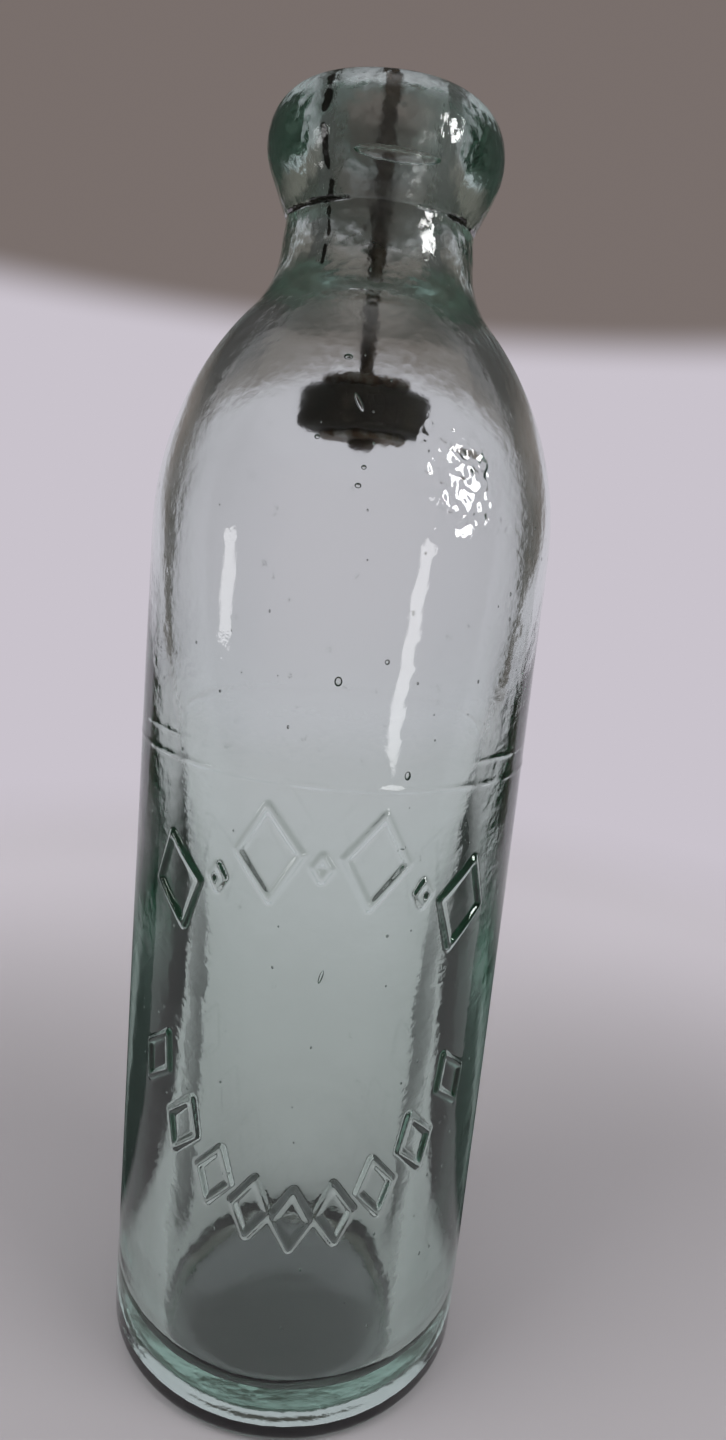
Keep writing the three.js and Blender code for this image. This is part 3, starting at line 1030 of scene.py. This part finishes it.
def glass_material():
    """Pale aqua glass: smudged and slightly uneven outside, with a faint haze inside."""
    material, shader, graph = new_material("aqua_glass")
    shader.inputs["IOR"].default_value = GLASS_IOR
    shader.inputs["Transmission Weight"].default_value = 1.0
    haze = graph.attribute(HAZE_ATTRIBUTE)
    smudge = graph.texture(*SMUDGE_NOISE)
    ragged = graph.texture(*RAGGED_NOISE)
    patchy = graph.level(smudge, HAZE_PATCHES)
    hazy = graph.math("MULTIPLY", haze, patchy)
    rough = graph.math("ADD", graph.level(smudge, SMUDGE_ROUGHNESS), hazy)
    graph.link(rough, shader.inputs["Roughness"])
    graph.bump(glass_unevenness(graph, ragged), shader, 1.0, GLASS_RELIEF)
    graph.link(glass_colour(graph, haze, patchy, ragged), shader.inputs["Base Color"])
    absorb = graph.add("VolumeAbsorption")
    absorb.inputs["Color"].default_value = (*GLASS_TINT, 1)
    absorb.inputs["Density"].default_value = GLASS_DENSITY
    graph.link(absorb.outputs["Volume"], graph.output.inputs["Volume"])
    return material


def rusted_metal(name, metallic, rust_noise, colours, roughness, grain_noise, relief):
    """Old tinned iron, dull and rusted along a noise, with a fine grain."""
    material, shader, graph = new_material(name)
    shader.inputs["Metallic"].default_value = metallic
    rust = graph.texture(*rust_noise)
    graph.link(graph.ramp(rust, colours), shader.inputs["Base Color"])
    graph.link(graph.level(rust, roughness), shader.inputs["Roughness"])
    graph.bump(graph.texture(*grain_noise), shader, *relief)
    return material


def wire_material():
    """Old wire, dull with brown rust."""
    return rusted_metal("aged_wire", WIRE_METALLIC, WIRE_RUST_NOISE, WIRE_COLOURS, WIRE_ROUGHNESS,
                        WIRE_GRAIN_NOISE, WIRE_RELIEF)


def plate_material():
    """Old plate, grey with patches of rust."""
    return rusted_metal("aged_plate", PLATE_METALLIC, PLATE_RUST_NOISE, PLATE_COLOURS, PLATE_ROUGHNESS,
                        PLATE_GRAIN_NOISE, PLATE_RELIEF)


def rubber_material():
    """Perished black-brown rubber with a dusty bloom and fine cracks."""
    material, shader, graph = new_material("aged_rubber")
    bloom = graph.texture(*BLOOM_NOISE)
    graph.link(graph.ramp(bloom, RUBBER_COLOURS), shader.inputs["Base Color"])
    graph.link(graph.level(bloom, RUBBER_ROUGHNESS), shader.inputs["Roughness"])
    cracks = graph.add("TexVoronoi")
    cracks.feature = "DISTANCE_TO_EDGE"
    cracks.inputs["Scale"].default_value = CRACK_SCALE
    graph.link(graph.place(), cracks.inputs["Vector"])
    off_crack = graph.level(cracks.outputs["Distance"], [(0.0, 0.0), (CRACK_WIDTH, 1.0)])
    graph.bump(off_crack, shader, *RUBBER_RELIEF)
    return material


def stage_object(name, points, faces, material):
    """A piece of the stage, from points in metres."""
    mesh = bpy.data.meshes.new(name)
    mesh.from_pydata(points, [], faces)
    mesh.materials.append(material)
    piece = bpy.data.objects.new(name, mesh)
    bpy.context.scene.collection.objects.link(piece)
    return piece


def stage_disc(name, radius, middle, reach, material):
    """A level round piece of the stage, stretched to its reach along X and Y."""
    rim = [(radius * math.cos(t), radius * math.sin(t), 0) for t in even_angles(STAGE_DISC_SIDES)]
    disc = stage_object(name, rim, [tuple(range(len(rim)))], material)
    disc.location = middle
    disc.scale = (*reach, 1)
    return disc


def make_floor():
    """A pale round floor with painted shade, darker near its front and paler towards the sheet, that fades
    out into the grey of the room.
    """
    material, shader, graph = new_material("floor_paper")
    position = graph.add("NewGeometry").outputs["Position"]
    # Painted shade: the floor is darker near a point in front of the bottle and lighter further away.
    paler = graph.fade(graph.distance(position, FLOOR_FRONT), *FLOOR_SHADE_SPAN)
    colour = graph.ramp(paler, [(0.0, FLOOR_SHADED), (1.0, FLOOR_UNSHADED)])
    graph.link(colour, shader.inputs["Base Color"])
    shader.inputs["Roughness"].default_value = STAGE_ROUGHNESS
    faded = graph.fade(graph.distance(graph.place()), *FLOOR_FADE)
    graph.mix(faded, shader.outputs["BSDF"], graph.clear())
    stage_disc("floor", FLOOR_FADE[1], FLOOR_MIDDLE, FLOOR_REACH, material)


def make_sheet():
    """A pale curved sheet behind the bottle, soft at its edges and unseen from its back."""
    material, _, graph = new_material("backdrop_sheet")
    parts = graph.parts(graph.place())
    taper = graph.fade(parts["Z"], *SHEET_TAPER_SPAN)
    aside = graph.math("MULTIPLY_ADD", taper, SHEET_TAPER, graph.math("ABSOLUTE", parts["X"]))
    edge = graph.fade(aside, *SHEET_EDGE)
    foot = graph.fade(parts["Z"], *SHEET_FOOT)
    top = graph.fade(parts["Z"], *SHEET_TOP)
    facing = graph.math("SUBTRACT", 1.0, graph.add("NewGeometry").outputs["Backfacing"])
    share = graph.seen_directly()
    for part in (edge, foot, top, facing):
        share = graph.math("MULTIPLY", share, part)
    glow = graph.add("Emission")
    glow.inputs["Color"].default_value = (*SHEET_COLOUR, 1)
    graph.mix(share, graph.clear(), glow.outputs["Emission"])
    turn = np.linspace(-SHEET_HALF_TURN, SHEET_HALF_TURN, SHEET_COLUMNS)
    bend = [(SHEET_RADIUS * math.sin(t), SHEET_RADIUS * math.cos(t)) for t in turn]
    points = [(x, y, z) for z in SHEET_HEIGHTS for x, y in bend]
    faces = [(j, j + 1, len(bend) + j + 1, len(bend) + j) for j in range(len(bend) - 1)]
    stage_object("backdrop", points, faces, material)


def make_wings():
    """Dark boards, seen only in reflections and through glass, for dark edges low down and at the lip."""
    material, shader, graph = new_material("dark_board")
    shader.inputs["Roughness"].default_value = STAGE_ROUGHNESS
    height = graph.parts(graph.place())["Z"]
    below_high = graph.fade(height, *WING_GAP_TOP)
    colour = graph.ramp(below_high, [(0.0, HIGH_WING_DARK), (1.0, LOW_WING_DARK)])
    graph.link(colour, shader.inputs["Base Color"])
    between = graph.math("MULTIPLY", graph.fade(height, *WING_GAP_FOOT), below_high)
    gap = graph.math("MAXIMUM", graph.fade(height, *WING_FOOT), between)
    graph.mix(gap, shader.outputs["BSDF"], graph.clear())
    points = [(side * x, y, z) for side in (-1, 1) for reach, y, span in (LOW_WING, HIGH_WING)
              for x in reach for z in span]
    faces = [(first, first + 1, first + 3, first + 2) for first in range(0, len(points), 4)]
    wings = stage_object("dark_wings", points, faces, material)
    wings.visible_camera = wings.visible_diffuse = wings.visible_shadow = False


def make_glow():
    """A soft light overhead, brightest in its middle, that only shows as a reflection."""
    material, _, graph = new_material("soft_glow")
    share = graph.fade(graph.distance(graph.place()), 1.0, 0.0)
    graph.mix(share, graph.clear(), graph.add("Emission").outputs["Emission"])
    disc = stage_disc("soft_glow", 1.0, GLOW_MIDDLE, GLOW_REACH, material)
    disc.visible_camera = disc.visible_diffuse = disc.visible_shadow = disc.visible_transmission = False


def make_world():
    """A grey room, dimmer overhead and aside in glass and metal, with an even light on matt surfaces."""
    world = bpy.data.worlds.new("studio")
    graph = Graph(world, "World Output")
    fill = graph.nodes["Background"]
    fill.inputs["Color"].default_value = (1, 1, 1, 1)
    fill.inputs["Strength"].default_value = FILL_LIGHT
    parts = graph.parts(graph.place("Generated"))
    aside = graph.fade(graph.math("ABSOLUTE", parts["X"]), *DIM_ASIDE)
    overhead = graph.fade(parts["Z"], *DIM_OVERHEAD)
    mirrored = graph.math("SUBTRACT", 1.0, graph.add("LightPath").outputs["Is Camera Ray"])
    dim = graph.math("MULTIPLY", graph.math("MAXIMUM", aside, overhead), mirrored)
    room = graph.add("Background")
    graph.link(graph.ramp(dim, [(0.0, WALL_GREY), (1.0, DIM_GREY)]), room.inputs["Color"])
    graph.mix(graph.seen_directly(), fill.outputs["Background"], room.outputs["Background"])
    bpy.context.scene.world = world


def area_light(name, place, target, size, power, lean):
    """A rectangular light that faces its target and leans about the way it faces."""
    light = bpy.data.lights.new(name, "AREA")
    light.shape = "RECTANGLE"
    light.size, light.size_y = size
    light.energy = power
    lamp = bpy.data.objects.new(name, light)
    lamp.location = place
    aim = Vector(target) - Vector(place)
    facing = aim.to_track_quat("-Z", "Y") @ Quaternion((0, 0, 1), lean)
    lamp.rotation_euler = facing.to_euler()
    bpy.context.scene.collection.objects.link(lamp)
    return lamp


def make_lights():
    """Broad soft lights that don't show in glass, and small ones that only show as reflections."""
    for settings in SOFT_LIGHTS:
        lamp = area_light(*settings)
        lamp.visible_glossy = lamp.visible_transmission = False
    for settings in STREAK_LIGHTS:
        lamp = area_light(*settings)
        lamp.visible_diffuse = lamp.visible_transmission = False


def make_camera():
    """The photograph's camera: level with the shoulder, looking slightly down and tilted a little."""
    yaw_c, yaw_s = math.cos(CAMERA_YAW), math.sin(CAMERA_YAW)
    pitch_c, pitch_s = math.cos(CAMERA_PITCH), math.sin(CAMERA_PITCH)
    roll_c, roll_s = math.cos(CAMERA_ROLL), math.sin(CAMERA_ROLL)
    level_right = Vector((yaw_c, -yaw_s, 0))
    forward = Vector((yaw_s * pitch_c, yaw_c * pitch_c, -pitch_s))
    level_up = level_right.cross(forward)
    right = roll_c * level_right + roll_s * level_up
    up = roll_c * level_up - roll_s * level_right
    data = bpy.data.cameras.new("photo_camera")
    data.sensor_fit = "VERTICAL"
    data.sensor_height = SENSOR_HEIGHT_MM
    data.lens = data.sensor_height * FOCAL_PX / IMAGE_HEIGHT_PX
    data.clip_start = NEAREST * MM
    camera = bpy.data.objects.new("photo_camera", data)
    place = Vector((0, -CAMERA_DISTANCE, CAMERA_HEIGHT)) * MM
    facing = Matrix((right, up, -forward)).transposed().to_4x4()
    camera.matrix_world = Matrix.Translation(place) @ facing
    bpy.context.scene.collection.objects.link(camera)
    bpy.context.scene.camera = camera


make_bottle()
make_wire()
make_top_plate()
make_gasket()
make_bottom_plate()
make_floor()
make_sheet()
make_wings()
make_glow()
make_world()
make_lights()
make_camera()
bpy.context.scene.view_settings.view_transform = "Standard"
cycles = bpy.context.scene.cycles
cycles.max_bounces = cycles.transmission_bounces = cycles.glossy_bounces = GLASS_BOUNCES
